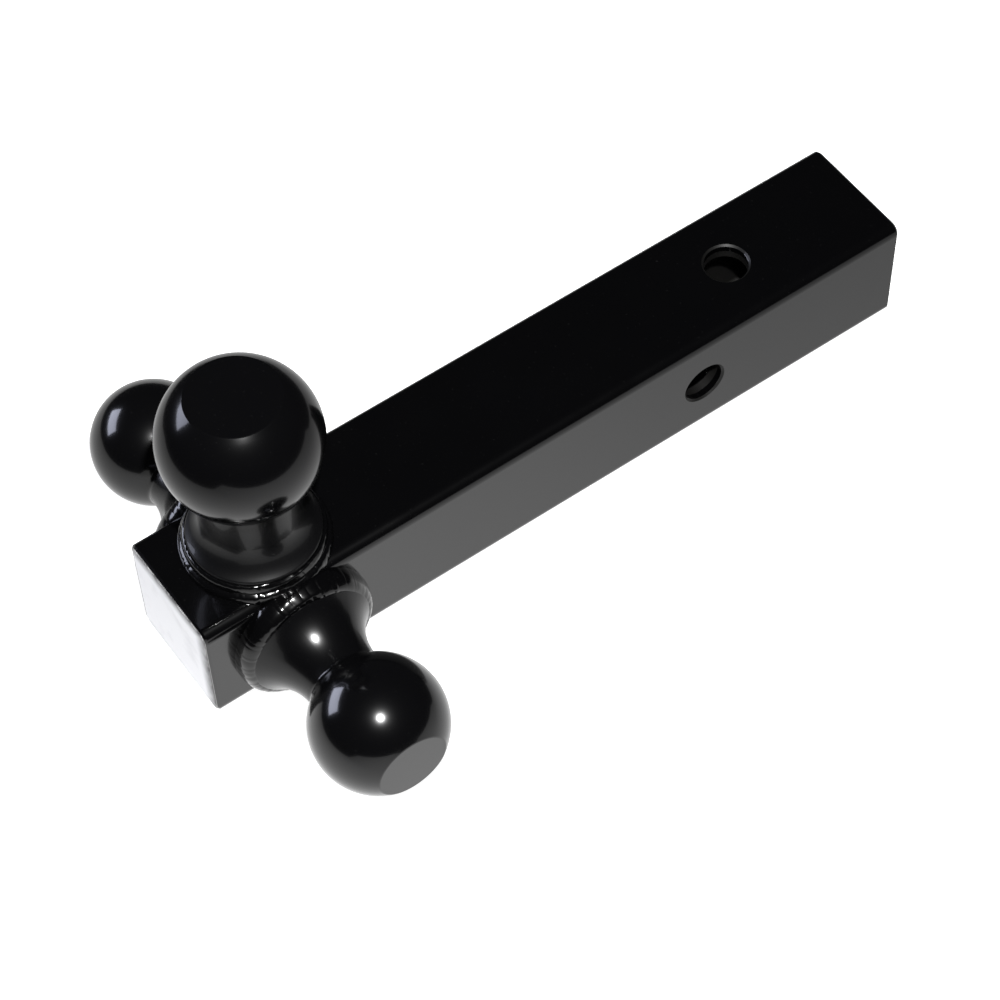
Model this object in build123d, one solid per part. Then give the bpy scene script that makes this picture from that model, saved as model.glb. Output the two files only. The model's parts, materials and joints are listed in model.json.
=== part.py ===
from build123d import *
import os
from math import sqrt

# Three-ball trailer hitch mount, all dimensions in millimetres.
# Frame: the origin is the centre of the cross pin bore, on the shank's long axis.
# +X runs along the shank to its open receiver end, +Y is the vehicle's left, +Z is up.

# ---- shank ------------------------------------------------------------------------
shank_size = 50.8               # outside width and height of the square tube
shank_length = 311.15
shank_wall = 6.35
shank_corner_radius = 4.5       # outside corners
shank_bore_corner_radius = 1.6
shank_end_chamfer = 0.8         # outer edge at the ball end
receiver_lead_chamfer = 0.8     # outer edge at the receiver end
receiver_mouth_chamfer = 0.8    # inner edge at the receiver end

# ---- receiver pin bores -------------------------------------------------------------
pin_bore_diameter = 17.0        # for a 5/8 inch (15.9 mm) receiver pin
pin_bore_chamfer = 0.8
cross_pin_from_end = 92.1       # bore through the two side walls
upright_pin_from_end = 63.5     # bore through the top and bottom walls

# ---- coupler balls -----------------------------------------------------------------
ball_setback = 37.0             # ball axes, measured from the ball end of the shank
top_ball_diameter = 58.74       # 2-5/16 inch
right_ball_diameter = 50.8      # 2 inch
left_ball_diameter = 47.63      # 1-7/8 inch
top_ball_height = 60.0          # wall face to ball centre
right_ball_height = 50.0
left_ball_height = 49.0
top_neck_diameter = 36.8
right_neck_diameter = 29.0
left_neck_diameter = 28.0
top_flat_diameter = 34.0        # flat on the ball's outer pole
right_flat_diameter = 28.0
left_flat_diameter = 26.0
flat_edge_radius = 1.0
neck_root_radius = 2.0          # where the neck runs into the ball
collar_margin = 0.9             # collar rim to the edge of the shank's face
collar_edge_radius = 1.2
top_collar_height = 8.0         # straight rim above the wall face
side_collar_height = 8.0
top_flare_height = 11.8         # collar rim up to the narrowest part of the neck
side_flare_height = 19.5
spigot_diameter = 25.4          # locating spigot that passes through the wall
spigot_clearance = 0.2          # on the radius
spigot_chamfer = 0.8

# ---- ball welds ----------------------------------------------------------------------
bead_leg_along_wall = 3.0       # collar rim to the toe on the shank
bead_leg_up_collar = 6.8        # wall face to the toe on the collar
bead_crown = 0.8                # bulge over the straight line between the toes

# ---- end plate and its weld ------------------------------------------------------------
end_plate_thickness = 6.35
end_plate_clearance = 0.1       # on each side, inside the tube
end_plate_bevel = 3.2           # welding bevel around the outer face

# ---- rating label ----------------------------------------------------------------------
label_thickness = 0.2
label_margin = 1.8              # edge of the shank's end to the label
label_corner_radius = 2.7

# ---- worked out ----------------------------------------------------------------------
half_size = shank_size / 2
receiver_end_x = cross_pin_from_end
ball_end_x = receiver_end_x - shank_length
ball_x = ball_end_x + ball_setback
upright_pin_x = receiver_end_x - upright_pin_from_end
cavity_size = shank_size - 2 * shank_wall
collar_radius = half_size - collar_margin
spigot_radius = spigot_diameter / 2
bead_toe_radius = collar_radius + bead_leg_along_wall
pin_bore_radius = pin_bore_diameter / 2
overcut = 1.0                   # how far a cutter runs past the faces that it opens

# Each ball is built pointing up, with its collar seated on z = 0, and then set on its wall.
top_seat = Pos(ball_x, 0, half_size)
right_seat = Pos(ball_x, -half_size, 0) * Rot(90, 0, 0)
left_seat = Pos(ball_x, half_size, 0) * Rot(-90, 0, 0)


def bar(size, corner_radius, x_from, x_to):
    """A square bar along X with rounded long edges."""
    section = Plane.YZ.offset(x_from) * RectangleRounded(size, size, corner_radius)
    return extrude(section, x_to - x_from)


def shank_blank():
    """The shank's outer form, with no bores."""
    return bar(shank_size, shank_corner_radius, ball_end_x, receiver_end_x)


def pin_bore_cutter():
    """One pin bore through both walls along Z, with its chamfered rims."""
    bore = Cylinder(pin_bore_radius, shank_size + 2 * overcut)
    rim = Cone(pin_bore_radius, pin_bore_radius + pin_bore_chamfer, pin_bore_chamfer)
    upper_rim = Pos(0, 0, half_size - pin_bore_chamfer / 2) * rim
    lower_rim = Rot(180, 0, 0) * upper_rim
    return bore + upper_rim + lower_rim


def shank_tube():
    blank = shank_blank()
    blank = chamfer(blank.faces().sort_by(Axis.X)[0].edges(), shank_end_chamfer)
    blank = chamfer(blank.faces().sort_by(Axis.X)[-1].edges(), receiver_lead_chamfer)
    tube = blank - bar(cavity_size, shank_bore_corner_radius, ball_end_x - overcut, receiver_end_x + overcut)
    mouth = tube.faces().sort_by(Axis.X)[-1]
    tube = chamfer(mouth.inner_wires().edges(), receiver_mouth_chamfer)
    tube -= Rot(90, 0, 0) * pin_bore_cutter()
    tube -= Pos(upright_pin_x, 0, 0) * pin_bore_cutter()
    spigot_hole = Cylinder(spigot_radius + spigot_clearance, shank_wall + 2 * overcut)
    for seat in (top_seat, right_seat, left_seat):
        tube -= seat * Pos(0, 0, -shank_wall / 2) * spigot_hole
    return tube


def ring_at(solid, radius, height):
    """The round edge about Z that lies nearest to a radius and height."""
    rings = solid.edges().filter_by(GeomType.CIRCLE)
    return min(rings, key=lambda e: (e.radius - radius) ** 2 + (e.arc_center.Z - height) ** 2)


def ball_forging(ball_diameter, centre_height, neck_diameter, flat_diameter, collar_height, flare_height):
    """Ball, neck, flared collar and spigot in one piece, turned about Z, with the collar on z = 0."""
    ball_radius = ball_diameter / 2
    neck_radius = neck_diameter / 2
    flat_radius = flat_diameter / 2
    flat_height = centre_height + sqrt(ball_radius ** 2 - flat_radius ** 2)
    neck_top = centre_height - sqrt(ball_radius ** 2 - neck_radius ** 2)
    neck_base = collar_height + flare_height
    outline = make_face([
        Line((0, flat_height), (flat_radius, flat_height)),
        ThreePointArc((flat_radius, flat_height), (ball_radius, centre_height), (neck_radius, neck_top)),
        Line((neck_radius, neck_top), (neck_radius, neck_base)),
        TangentArc((neck_radius, neck_base), (collar_radius, collar_height), tangent=(0, -1)),
        Line((collar_radius, collar_height), (collar_radius, 0)),
        Line((collar_radius, 0), (spigot_radius, 0)),
        Line((spigot_radius, 0), (spigot_radius, -shank_wall)),
        Line((spigot_radius, -shank_wall), (0, -shank_wall)),
        Line((0, -shank_wall), (0, flat_height)),
    ])
    forging = revolve(Plane.XZ * outline, Axis.Z)
    forging = fillet(ring_at(forging, flat_radius, flat_height), flat_edge_radius)
    forging = fillet(ring_at(forging, neck_radius, neck_top), neck_root_radius)
    forging = fillet(ring_at(forging, collar_radius, collar_height), collar_edge_radius)
    return chamfer(ring_at(forging, spigot_radius, -shank_wall), spigot_chamfer)


def top_ball():
    forging = ball_forging(top_ball_diameter, top_ball_height, top_neck_diameter,
                           top_flat_diameter, top_collar_height, top_flare_height)
    return top_seat * forging


def right_ball():
    forging = ball_forging(right_ball_diameter, right_ball_height, right_neck_diameter,
                           right_flat_diameter, side_collar_height, side_flare_height)
    return right_seat * forging


def left_ball():
    forging = ball_forging(left_ball_diameter, left_ball_height, left_neck_diameter,
                           left_flat_diameter, side_collar_height, side_flare_height)
    return left_seat * forging


def bead_ring():
    """A collar's fillet weld about Z, with a skirt that reaches down the shank's rounded edges."""
    crown = ((collar_radius + bead_toe_radius) / 2 + bead_crown, bead_leg_up_collar / 2 + bead_crown / 2)
    outline = make_face([
        Line((collar_radius, -shank_corner_radius), (collar_radius, bead_leg_up_collar)),
        ThreePointArc((collar_radius, bead_leg_up_collar), crown, (bead_toe_radius, 0)),
        Line((bead_toe_radius, 0), (bead_toe_radius, -shank_corner_radius)),
        Line((bead_toe_radius, -shank_corner_radius), (collar_radius, -shank_corner_radius)),
    ])
    return revolve(Plane.XZ * outline, Axis.Z)


def ball_weld(seat, room_points):
    """The bead at one seat, kept to its own room in the YZ section, so that neighbours only touch."""
    section = make_face(Polyline(*room_points, close=True))
    room = extrude(Plane.YZ.offset(ball_x) * section, 2 * bead_toe_radius, both=True)
    return (seat * bead_ring() & room) - shank_blank()


# Beads on neighbouring walls share the shank's edge at 45 degrees. On the ball-less bottom side the
# side beads stop flush with the bottom face, so that the mount still rests flat.
def top_weld():
    reach = shank_size
    return ball_weld(top_seat, [(0, 0), (reach, reach), (-reach, reach)])


def right_weld():
    reach = shank_size
    return ball_weld(right_seat, [(0, 0), (-reach, reach), (-reach, -half_size), (0, -half_size)])


def left_weld():
    reach = shank_size
    return ball_weld(left_seat, [(0, 0), (reach, reach), (reach, -half_size), (0, -half_size)])


def end_plate():
    """Square plug that closes the tube, flush with its ball end and bevelled for the weld."""
    size = cavity_size - 2 * end_plate_clearance
    corner_radius = shank_bore_corner_radius - end_plate_clearance
    plate = bar(size, corner_radius, ball_end_x, ball_end_x + end_plate_thickness)
    bevelled = extrude(Plane.YZ.offset(ball_end_x) * Rectangle(size, size), end_plate_thickness)
    bevelled = chamfer(bevelled.faces().sort_by(Axis.X)[0].edges(), end_plate_bevel)
    return plate & bevelled


def end_plate_weld():
    """Weld that fills the plate's bevel, ground flush with the shank's end."""
    groove = bar(cavity_size, shank_bore_corner_radius, ball_end_x, ball_end_x + end_plate_bevel)
    return groove - end_plate()


def rating_label():
    """Blank adhesive label on the closed end."""
    return bar(shank_size - 2 * label_margin, label_corner_radius, ball_end_x - label_thickness, ball_end_x)


def main():
    os.makedirs("parts", exist_ok=True)
    nodes = {
        "shank_tube": shank_tube,
        "end_plate": end_plate,
        "end_plate_weld": end_plate_weld,
        "top_ball": top_ball,
        "right_ball": right_ball,
        "left_ball": left_ball,
        "top_ball_weld": top_weld,
        "right_ball_weld": right_weld,
        "left_ball_weld": left_weld,
        "rating_label": rating_label,
    }
    for name, build in nodes.items():
        solid = build()
        solid.label = name
        export_step(solid, os.path.join("parts", name + ".step"))


if __name__ == "__main__":
    main()
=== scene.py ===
import json
import math
import random

import bmesh
import bpy
from mathutils import Matrix, Vector
from mathutils import noise as noise_lib


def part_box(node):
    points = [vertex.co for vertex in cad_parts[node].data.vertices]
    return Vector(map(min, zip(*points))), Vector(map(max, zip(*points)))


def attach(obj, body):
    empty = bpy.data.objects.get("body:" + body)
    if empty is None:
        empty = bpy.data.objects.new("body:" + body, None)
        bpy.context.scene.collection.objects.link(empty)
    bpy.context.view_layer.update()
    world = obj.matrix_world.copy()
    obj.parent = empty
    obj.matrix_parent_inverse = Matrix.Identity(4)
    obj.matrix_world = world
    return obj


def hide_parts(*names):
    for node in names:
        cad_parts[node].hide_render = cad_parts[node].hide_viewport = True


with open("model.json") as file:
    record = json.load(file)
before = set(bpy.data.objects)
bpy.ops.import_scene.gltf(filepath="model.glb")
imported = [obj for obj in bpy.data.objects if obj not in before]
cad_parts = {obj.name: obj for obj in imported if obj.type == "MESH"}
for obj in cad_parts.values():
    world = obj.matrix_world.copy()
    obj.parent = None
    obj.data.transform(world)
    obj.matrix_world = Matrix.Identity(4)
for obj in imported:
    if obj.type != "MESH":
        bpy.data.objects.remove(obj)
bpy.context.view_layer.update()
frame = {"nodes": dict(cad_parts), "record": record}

MM = 0.001

# ---- places read from the frame -------------------------------------------------------
tube_low, tube_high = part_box("shank_tube")
half_size = (tube_high.z - tube_low.z) / 2
rest_z = tube_low.z
top_low, top_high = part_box("top_ball")
ball_x = (top_low.x + top_high.x) / 2
bores = {
    mount["name"]: Vector(mount["pos_m"])
    for mount in frame["record"]["mounts"]
    if "bore" in mount["name"]
}
cross_bore = bores["cross_pin_bore"]
upright_bore = bores["upright_pin_bore"]
collar_radius = half_size - 0.9 * MM

# ---- paint ------------------------------------------------------------------------------
cavity_half = half_size - 3.0 * MM      # partway into the wall, so everything inside it is cavity
bore_wall_radius = 8.5 * MM
bore_rim_radius = 9.3 * MM              # outer edge of a pin bore's chamfer
paint_shine = 0.27
paint_coat = 0.5
mill_scale_roughness = 0.42

# ---- weld beads -------------------------------------------------------------------------
# Each pass is one lobe, in mm and degrees: its middle's distance out from the collar's rim and up from
# the wall, its half width and half height, and the angles where it starts on the collar and ends.
bead_lobes = {
    1: [(-0.6, 1.8, 4.1, 6.4, 108, -45)],
    2: [(0.1, 4.2, 1.6, 2.8, 84, -20), (0.9, 0.4, 2.4, 2.9, 55, -62)],
}
bead_roots = {1: (-2.4, 7.0), 2: (-0.6, 6.3)}   # where the outline starts inside the collar, out and up
bead_skirt = (1.8, -4.4)        # end of the part that reaches down over the shank's rounded edges
bead_spread = 3.0 * MM          # collar rim to the bead's toe on the shank
bead_steps = 900                # around the collar
lobe_steps = 14                 # across the bead
ripple_pitch = 3.3 * MM
ripple_height = 0.25 * MM       # about this where two beads meet, and under half of it elsewhere
ripple_bow = 0.9                # how far a ripple's ends trail its middle, in ripples
second_pass_lag = 0.45          # between the ripples of two passes, in ripples
meeting_from = 0.72             # share of the way to the shank's edge where a bead feels its neighbour
row_height = 0.20 * MM          # lengthwise rows where two beads meet
row_turn = 28.0                 # radians across the bead
row_slant = 0.9                 # radians along each ripple
sway_height = 0.5 * MM          # slow swelling of the bead along its run
sway_scale = 1.6
grain_height = 0.12 * MM
grain_scale = 9
flush_gap = 0.02 * MM           # keeps the side beads' cut just clear of the ground

# ---- camera -----------------------------------------------------------------------------
aim_point = Vector((-0.0931, -0.0233, 0.0))
camera_distance = 1.0879
camera_azimuth = math.radians(-33.64)
camera_elevation = math.radians(55.43)
camera_roll = math.radians(-2.16)
camera_lens = 106.76


# ==== helpers =============================================================================
def select_only(piece):
    bpy.ops.object.select_all(action="DESELECT")
    piece.select_set(True)
    bpy.context.view_layer.objects.active = piece


def node(tree, kind, **settings):
    made = tree.nodes.new(kind)
    for name, value in settings.items():
        if hasattr(made, name):
            setattr(made, name, value)
        else:
            made.inputs[name].default_value = value
    return made


def new_material(name):
    material = bpy.data.materials.new(name)
    material.use_nodes = True
    tree = material.node_tree
    tree.nodes.clear()
    output = tree.nodes.new("ShaderNodeOutputMaterial")
    shader = tree.nodes.new("ShaderNodeBsdfPrincipled")
    tree.links.new(shader.outputs["BSDF"], output.inputs["Surface"])
    place = tree.nodes.new("ShaderNodeTexCoord").outputs["Object"]
    return material, tree, shader, place


def noise(tree, place, scale, detail=2.0, roughness=0.5):
    made = tree.nodes.new("ShaderNodeTexNoise")
    made.inputs["Scale"].default_value = scale
    made.inputs["Detail"].default_value = detail
    made.inputs["Roughness"].default_value = roughness
    tree.links.new(place, made.inputs["Vector"])
    return made.outputs["Fac"]


def remap(tree, value, low, high, to_low, to_high):
    made = tree.nodes.new("ShaderNodeMapRange")
    made.inputs["From Min"].default_value = low
    made.inputs["From Max"].default_value = high
    made.inputs["To Min"].default_value = to_low
    made.inputs["To Max"].default_value = to_high
    tree.links.new(value, made.inputs["Value"])
    return made.outputs["Result"]


def maths(tree, operation, *values):
    """A Math node fed with outputs of other nodes or with plain numbers."""
    made = node(tree, "ShaderNodeMath", operation=operation)
    for index, value in enumerate(values):
        if isinstance(value, (int, float)):
            made.inputs[index].default_value = value
        else:
            tree.links.new(value, made.inputs[index])
    return made.outputs[0]


def bump(tree, height, strength, distance, normal=None):
    made = tree.nodes.new("ShaderNodeBump")
    made.inputs["Strength"].default_value = strength
    made.inputs["Distance"].default_value = distance
    tree.links.new(height, made.inputs["Height"])
    if normal is not None:
        tree.links.new(normal, made.inputs["Normal"])
    return made.outputs["Normal"]


def mix_colour(tree, factor, first, second):
    """Blend two colours, each an output of another node or plain numbers."""
    made = node(tree, "ShaderNodeMix", data_type="RGBA")
    tree.links.new(factor, made.inputs["Factor"])
    for index, colour in ((6, first), (7, second)):
        if isinstance(colour, tuple):
            made.inputs[index].default_value = (*colour, 1.0)
        else:
            tree.links.new(colour, made.inputs[index])
    return made.outputs[2]


def split_place(tree, place):
    split = tree.nodes.new("ShaderNodeSeparateXYZ")
    tree.links.new(place, split.inputs["Vector"])
    return split.outputs


# ==== materials =============================================================================
def gloss_black_paint(name, peel, waviness, smoothness, cloud=0.02, tone=0.0006,
                      shine=paint_shine, coat=paint_coat):
    """Brushed-on gloss black: orange peel, slow waves in the film and a little settled dust."""
    material, tree, shader, place = new_material(name)
    dust = remap(tree, noise(tree, place, 900.0, 3.0, 0.6), 0.68, 0.76, 0.0, 1.0)
    colour = mix_colour(tree, dust, (tone, tone, tone * 1.15), (0.005, 0.005, 0.005))
    tree.links.new(colour, shader.inputs["Base Color"])
    film = noise(tree, place, 35.0, 3.0, 0.55)
    gloss = remap(tree, film, 0.3, 0.7, smoothness - cloud, smoothness + cloud)
    tree.links.new(gloss, shader.inputs["Roughness"])
    waves = bump(tree, noise(tree, place, 45.0, 1.0), waviness, 0.4 * MM)
    peeled = bump(tree, noise(tree, place, 520.0, 2.0), peel, 0.05 * MM, waves)
    tree.links.new(peeled, shader.inputs["Normal"])
    shader.inputs["IOR"].default_value = 1.5
    shader.inputs["Specular IOR Level"].default_value = shine
    shader.inputs["Coat Weight"].default_value = coat
    shader.inputs["Coat Roughness"].default_value = 0.07
    tree.links.new(waves, shader.inputs["Coat Normal"])
    return material, tree, shader, place


def blend_finish(tree, shader, mask, roughness, coat):
    """Change a paint to another roughness and clear coat where the mask is 1."""
    dull = node(tree, "ShaderNodeMix", data_type="FLOAT")
    tree.links.new(mask, dull.inputs["Factor"])
    tree.links.new(shader.inputs["Roughness"].links[0].from_socket, dull.inputs[2])
    dull.inputs[3].default_value = roughness
    tree.links.new(dull.outputs[0], shader.inputs["Roughness"])
    coat_now = shader.inputs["Coat Weight"].default_value
    tree.links.new(remap(tree, mask, 0.0, 1.0, coat_now, coat), shader.inputs["Coat Weight"])


def reach_from(tree, first, first_place, second, second_place):
    """Distance from a line that runs along the third axis."""
    squares = []
    for along, middle in ((first, first_place), (second, second_place)):
        offset = maths(tree, "SUBTRACT", along, middle)
        squares.append(maths(tree, "POWER", offset, 2.0))
    return maths(tree, "SQRT", maths(tree, "ADD", *squares))


def shank_material():
    """Gloss black outside; inside the tube and on the pin bores' rims only dull, dark mill scale."""
    material, tree, shader, place = gloss_black_paint("shank_gloss_black", 0.10, 0.03, 0.17, 0.03)
    axes = split_place(tree, place)
    deepest = maths(tree, "MAXIMUM", *(maths(tree, "ABSOLUTE", axes[axis]) for axis in ("Y", "Z")))
    dull = remap(tree, deepest, cavity_half - 0.3 * MM, cavity_half, 1.0, 0.0)
    reaches = (
        reach_from(tree, axes["X"], cross_bore.x, axes["Z"], cross_bore.z),
        reach_from(tree, axes["X"], upright_bore.x, axes["Y"], upright_bore.y),
    )
    for reach in reaches:
        within = remap(tree, reach, bore_rim_radius - 0.05 * MM, bore_rim_radius + 0.05 * MM, 1.0, 0.0)
        beyond = remap(tree, reach, bore_wall_radius + 0.02 * MM, bore_wall_radius + 0.1 * MM, 0.0, 1.0)
        dull = maths(tree, "MAXIMUM", dull, maths(tree, "MULTIPLY", within, beyond))
    patches = noise(tree, place, 60.0, 5.0, 0.65)
    mill_scale = mix_colour(tree, patches, (0.0015, 0.0015, 0.0015), (0.0045, 0.0043, 0.004))
    paint = shader.inputs["Base Color"].links[0].from_socket
    tree.links.new(mix_colour(tree, dull, paint, mill_scale), shader.inputs["Base Color"])
    blend_finish(tree, shader, dull, mill_scale_roughness, 0.0)
    return material


def forging_material(name, axis, neck_top, neck_roughness, shine, coat):
    """Polished ball over a neck and collar left as turned, all under the same gloss black."""
    material, tree, shader, place = gloss_black_paint(name, 0.05, 0.01, 0.175, 0.015, 0.0010, shine, coat)
    height = maths(tree, "ABSOLUTE", split_place(tree, place)[axis])
    neck = remap(tree, height, half_size + neck_top - MM, half_size + neck_top, 1.0, 0.0)
    blend_finish(tree, shader, neck, neck_roughness, 0.2)
    return material


def label_vinyl():
    """Blank white vinyl with random scuffs, and painted shade that darkens it along its top edge and the
    edge on the right ball's side.
    """
    material, tree, shader, place = new_material("blank_label_vinyl")
    axes = split_place(tree, place)
    # Painted shade: the vinyl darkens to near black over the last few mm towards its top edge and the
    # edge on the right ball's side.
    shade_from = half_size - 8 * MM
    shade_to = half_size - 2.2 * MM
    top_edge = remap(tree, axes["Z"], shade_from, shade_to, 0.0, 1.0)
    right_edge = remap(tree, axes["Y"], -shade_from, -shade_to, 0.0, 1.0)
    patches = remap(tree, noise(tree, place, 160.0, 4.0, 0.6), 0.35, 0.65, 0.72, 1.0)
    edge_shade = maths(tree, "MULTIPLY", maths(tree, "MAXIMUM", right_edge, top_edge), patches)
    scuffs = remap(tree, noise(tree, place, 55.0, 4.0, 0.6), 0.52, 0.72, 0.0, 1.0)
    scuffed_white = mix_colour(tree, scuffs, (0.94, 0.94, 0.94), (0.80, 0.80, 0.805))
    tree.links.new(mix_colour(tree, edge_shade, scuffed_white, (0.045, 0.045, 0.048)), shader.inputs["Base Color"])
    grain = noise(tree, place, 1500.0, 2.0)
    tree.links.new(remap(tree, grain, 0.3, 0.7, 0.38, 0.48), shader.inputs["Roughness"])
    tree.links.new(bump(tree, noise(tree, place, 90.0, 2.0), 0.15, 0.1 * MM), shader.inputs["Normal"])
    shader.inputs["IOR"].default_value = 1.46
    return material


def paint_node(name, material):
    piece = frame["nodes"][name]
    piece.data.materials.clear()
    piece.data.materials.append(material)


# ==== weld beads ==============================================================================
def bead_outline(passes):
    """Half outline of a bead as (radius, height) from the collar to the skirt, with one lobe per pass."""
    root_out, root_up = bead_roots[passes]
    outline = [(root_out, root_up)]
    steps = lobe_steps // passes
    for out, up, wide, tall, first, last in bead_lobes[passes]:
        for step in range(steps + 1):
            turn = math.radians(first + (last - first) * step / steps)
            outline.append((out + wide * math.cos(turn), up + tall * math.sin(turn)))
    outline += [bead_skirt, (root_out, bead_skirt[1])]
    return [(collar_radius + out * MM, up * MM) for out, up in outline]


def bead_lift(share, height, travel, way, starts, heights, seed, passes):
    """How far a bead stands off its smooth outline: share is across it, travel along it in ripples."""
    count = len(starts)
    meeting = max(0.0, abs(way.y) - meeting_from) / (1 - meeting_from)
    lag = second_pass_lag if passes == 2 and share > 0.5 else 0
    local = (travel + ripple_bow * (share * 2 - 1) ** 2 + lag) % count
    ripple = max((index for index in range(count) if starts[index] <= local), default=count - 1)
    gap = (starts[(ripple + 1) % count] - starts[ripple]) % count
    along = ((local - starts[ripple]) % count) / gap
    lift = ripple_height * heights[ripple] * (math.sin(math.pi * min(along, 1.0) ** 0.75) - 0.5)
    lift *= 0.4 + 0.7 * meeting
    lift += row_height * meeting * math.sin(row_turn * share + travel * row_slant)
    sway = noise_lib.noise(Vector((way.x * sway_scale, way.y * sway_scale, seed)))
    lift += sway_height * sway * (0.4 + 0.6 * share)
    grain = noise_lib.noise(Vector((way.x * grain_scale, way.y * grain_scale, height * 400 + seed)))
    return lift + grain_height * grain


def weld_bead(name, place, seed, passes, flush_bottom):
    """A hand-laid fillet bead around one collar, with soft crescent ripples along its run."""
    chance = random.Random(seed)
    outline = bead_outline(passes)
    run = 2 * math.pi * (collar_radius + bead_spread / 2)
    count = round(run / ripple_pitch)
    starts = [index + chance.uniform(-0.36, 0.36) for index in range(count)]
    heights = [chance.uniform(0.3, 1.2) for index in range(count)]
    buried = (0, len(outline) - 2, len(outline) - 1)
    mesh = bmesh.new()
    rings = []
    for step in range(bead_steps):
        angle = 2 * math.pi * step / bead_steps
        travel = step / bead_steps * count
        way = Vector((math.cos(angle), math.sin(angle), 0))
        ring = []
        for index, (radius, height) in enumerate(outline):
            lift = 0.0
            if index not in buried:
                share = index / (len(outline) - 1)
                lift = bead_lift(share, height, travel, way, starts, heights, seed, passes)
            outwards = Vector((radius - collar_radius, height)).normalized()
            wide = radius + lift * max(outwards.x, 0.3)
            tall = height + lift * outwards.y * 0.7
            ring.append(mesh.verts.new(way * wide + Vector((0, 0, tall))))
        rings.append(ring)
    for step, ring in enumerate(rings):
        after = rings[(step + 1) % bead_steps]
        for index in range(len(outline)):
            following = (index + 1) % len(outline)
            mesh.faces.new((ring[index], ring[following], after[following], after[index]))
    mesh.transform(place)
    if flush_bottom:
        everything = mesh.verts[:] + mesh.edges[:] + mesh.faces[:]
        cut = bmesh.ops.bisect_plane(mesh, geom=everything, plane_co=(0, 0, rest_z + flush_gap),
                                     plane_no=(0, 0, 1), clear_inner=True)
        rims = [part for part in cut["geom_cut"] if isinstance(part, bmesh.types.BMEdge)]
        bmesh.ops.holes_fill(mesh, edges=rims, sides=0)
    bmesh.ops.recalc_face_normals(mesh, faces=mesh.faces[:])
    data = bpy.data.meshes.new(name)
    mesh.to_mesh(data)
    mesh.free()
    bead = bpy.data.objects.new(name, data)
    bpy.context.scene.collection.objects.link(bead)
    select_only(bead)
    bpy.ops.object.shade_smooth_by_angle(angle=math.radians(60))
    return bead


def seat_place(normal):
    """The place of a ball's seat: the point where its axis meets the wall, turned to face outwards."""
    turn = Vector((0, 0, 1)).rotation_difference(Vector(normal)).to_matrix().to_4x4()
    return Matrix.Translation(Vector((ball_x, 0, 0)) + half_size * Vector(normal)) @ turn


# ==== stage =====================================================================================
def stage_plane(name, size, centre, material):
    bpy.ops.object.select_all(action="DESELECT")
    bpy.ops.mesh.primitive_plane_add(size=1.0, location=centre)
    plane = bpy.context.object
    plane.name = name
    plane.scale = (size[0], size[1], 1)
    select_only(plane)
    bpy.ops.object.transform_apply(location=True, rotation=True, scale=True)
    plane.data.materials.append(material)
    return plane


def stage_sheet(name, x_range, bends, material):
    """A sheet that runs straight along X and is bent through the given (y, z) points."""
    corners = [(x, y, z) for y, z in bends for x in x_range]
    faces = [(2 * k, 2 * k + 2, 2 * k + 3, 2 * k + 1) for k in range(len(bends) - 1)]
    data = bpy.data.meshes.new(name)
    data.from_pydata(corners, [], faces)
    sheet = bpy.data.objects.new(name, data)
    bpy.context.scene.collection.objects.link(sheet)
    sheet.data.materials.append(material)
    return sheet


def glow_material(name, glow, white):
    material, tree, shader, place = new_material(name)
    shader.inputs["Base Color"].default_value = (white, white, white, 1.0)
    shader.inputs["Roughness"].default_value = 1.0
    shader.inputs["Specular IOR Level"].default_value = 0.0
    shader.inputs["Emission Color"].default_value = (1.0, 1.0, 1.0, 1.0)
    shader.inputs["Emission Strength"].default_value = glow
    return material, tree, shader, place


def board_material():
    """Board that glows with a painted pool of light: brightest in front of the balls and falling off away
    from them.
    """
    material, tree, shader, place = glow_material("board_painted_glow", 1.0, 0.0)
    distance = node(tree, "ShaderNodeVectorMath", operation="DISTANCE")
    tree.links.new(place, distance.inputs[0])
    distance.inputs[1].default_value = (ball_x - 0.02, -0.1, rest_z)
    ramp = tree.nodes.new("ShaderNodeFloatCurve")
    tree.links.new(distance.outputs["Value"], ramp.inputs["Value"])
    curve = ramp.mapping.curves[0]
    for far, glow in ((0.06, 0.94), (0.13, 0.79), (0.27, 0.54), (0.5, 0.39)):
        curve.points.new(far, glow)
    curve.points[0].location = (0.0, 1.0)
    curve.points[-1].location = (1.0, 0.35)
    ramp.mapping.update()
    strength = maths(tree, "MULTIPLY", ramp.outputs["Value"], 1.2)
    tree.links.new(strength, shader.inputs["Emission Strength"])
    return material


def area_light(name, place, target, size, power, colour=(1.0, 1.0, 1.0)):
    data = bpy.data.lights.new(name, "AREA")
    data.shape = "RECTANGLE"
    data.size, data.size_y = size
    data.energy = power
    data.color = colour
    light = bpy.data.objects.new(name, data)
    bpy.context.scene.collection.objects.link(light)
    light.location = place
    light.rotation_euler = (target - place).to_track_quat("-Z", "Y").to_euler()


def make_world():
    """White behind everything that the camera sees, and a dark room for all else."""
    world = bpy.data.worlds.new("studio")
    bpy.context.scene.world = world
    world.use_nodes = True
    tree = world.node_tree
    tree.nodes.clear()
    output = tree.nodes.new("ShaderNodeOutputWorld")
    seen = node(tree, "ShaderNodeBackground", Color=(1.0, 1.0, 1.0, 1.0), Strength=1.0)
    room = node(tree, "ShaderNodeBackground", Color=(0.02, 0.02, 0.022, 1.0), Strength=1.0)
    path = tree.nodes.new("ShaderNodeLightPath")
    mixed = tree.nodes.new("ShaderNodeMixShader")
    tree.links.new(path.outputs["Is Camera Ray"], mixed.inputs["Fac"])
    tree.links.new(room.outputs[0], mixed.inputs[1])
    tree.links.new(seen.outputs[0], mixed.inputs[2])
    tree.links.new(mixed.outputs[0], output.inputs["Surface"])


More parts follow.
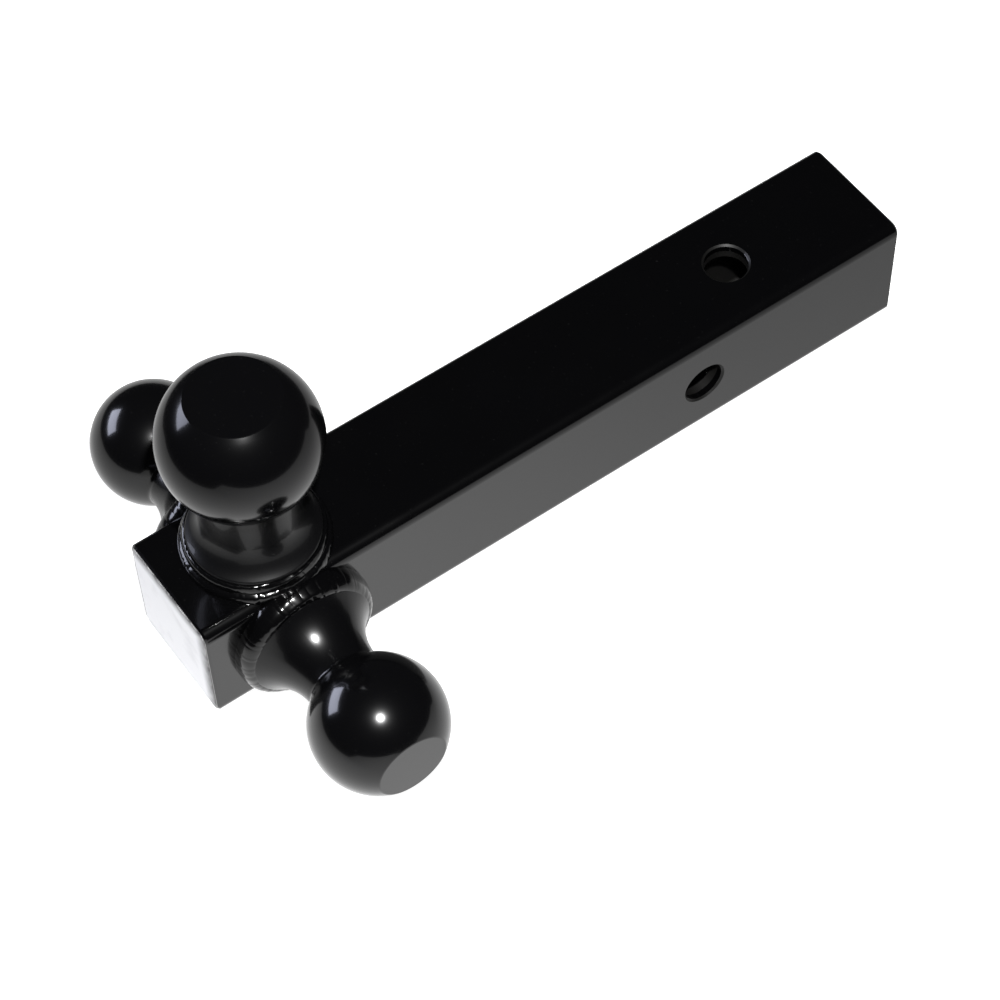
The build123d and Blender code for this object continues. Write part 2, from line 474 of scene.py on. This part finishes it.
def make_stage():
    """A white floor for the eye, a glowing board with a painted pool of light just under it for
    reflections, a window and a small lamp.
    """
    bpy.context.scene.view_settings.view_transform = "Standard"
    make_world()

    floor_white = glow_material("floor_white", 1.0, 0.4)[0]
    floor = stage_plane("floor", (6.0, 6.0), (ball_x, 0, rest_z - 0.1 * MM), floor_white)
    floor.visible_glossy = False
    floor.visible_diffuse = False
    board_z = rest_z - 0.2 * MM
    # Painted light: the board glows, brightest in front of the balls; only reflections and bounced light
    # see it.
    board = stage_sheet("glowing_board", (ball_x - 0.33, ball_x + 0.57),
                        ((0.355, board_z), (-0.17, board_z), (-0.25, 0.03)), board_material())
    board.visible_camera = False

    target = Vector((ball_x, 0, 0))
    bearing = math.radians(124)
    rise = math.tan(math.radians(20))
    window_place = target + 3.0 * Vector((math.cos(bearing), math.sin(bearing), rise)).normalized()
    area_light("window", window_place, target, (1.8, 0.95), 37.0, (0.88, 0.92, 1.12))
    lamp_place = camera_place() + 0.15 * camera_up() + 0.05 * camera_right()
    area_light("lamp", lamp_place, target, (0.03, 0.03), 36.0)


# ==== camera ====================================================================================
def camera_place():
    flat = math.cos(camera_elevation)
    away = Vector((
        math.sin(camera_azimuth) * flat,
        -math.cos(camera_azimuth) * flat,
        math.sin(camera_elevation),
    ))
    return aim_point + camera_distance * away


def camera_right():
    look = (aim_point - camera_place()).normalized()
    return look.cross(Vector((0, 0, 1))).normalized()


def camera_up():
    look = (aim_point - camera_place()).normalized()
    return camera_right().cross(look)


def make_camera():
    data = bpy.data.cameras.new("camera")
    data.lens = camera_lens
    data.sensor_width = 36.0
    camera = bpy.data.objects.new("camera", data)
    bpy.context.scene.collection.objects.link(camera)
    place = camera_place()
    look = (aim_point - place).to_track_quat("-Z", "Y").to_matrix().to_4x4()
    camera.matrix_world = Matrix.Translation(place) @ look @ Matrix.Rotation(camera_roll, 4, "Z")
    bpy.context.scene.camera = camera


# ==== build =====================================================================================
weld_paint = gloss_black_paint("weld_gloss_black", 0.10, 0.05, 0.18)[0]
plate_paint = gloss_black_paint("plate_gloss_black", 0.10, 0.03, 0.18)[0]

# Ball, its axis, the neck's top above the wall, the neck's roughness, and the paint's shine and coat.
forgings = (
    ("top_ball", "Z", 37 * MM, 0.37, 0.19, 0.33),
    ("right_ball", "Y", 28.5 * MM, 0.22, paint_shine, paint_coat),
    ("left_ball", "Y", 28.5 * MM, 0.26, paint_shine, paint_coat),
)
for ball, axis, neck_top, neck_roughness, shine, coat in forgings:
    paint_node(ball, forging_material(ball + "_gloss_black", axis, neck_top, neck_roughness, shine, coat))
paint_node("shank_tube", shank_material())
paint_node("end_plate", plate_paint)
paint_node("end_plate_weld", weld_paint)
paint_node("rating_label", label_vinyl())

# Side, the way it faces, the seed of its bead's ripples, and the bead's passes.
seats = (
    ("top", (0, 0, 1), 3, 2),
    ("right", (0, -1, 0), 5, 1),
    ("left", (0, 1, 0), 8, 1),
)
for side, normal, seed, passes in seats:
    bead = weld_bead(side + "_weld_bead", seat_place(normal), seed, passes, side != "top")
    bead.data.materials.append(weld_paint)
    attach(bead, "root")
    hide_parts(side + "_ball_weld")

make_stage()
make_camera()
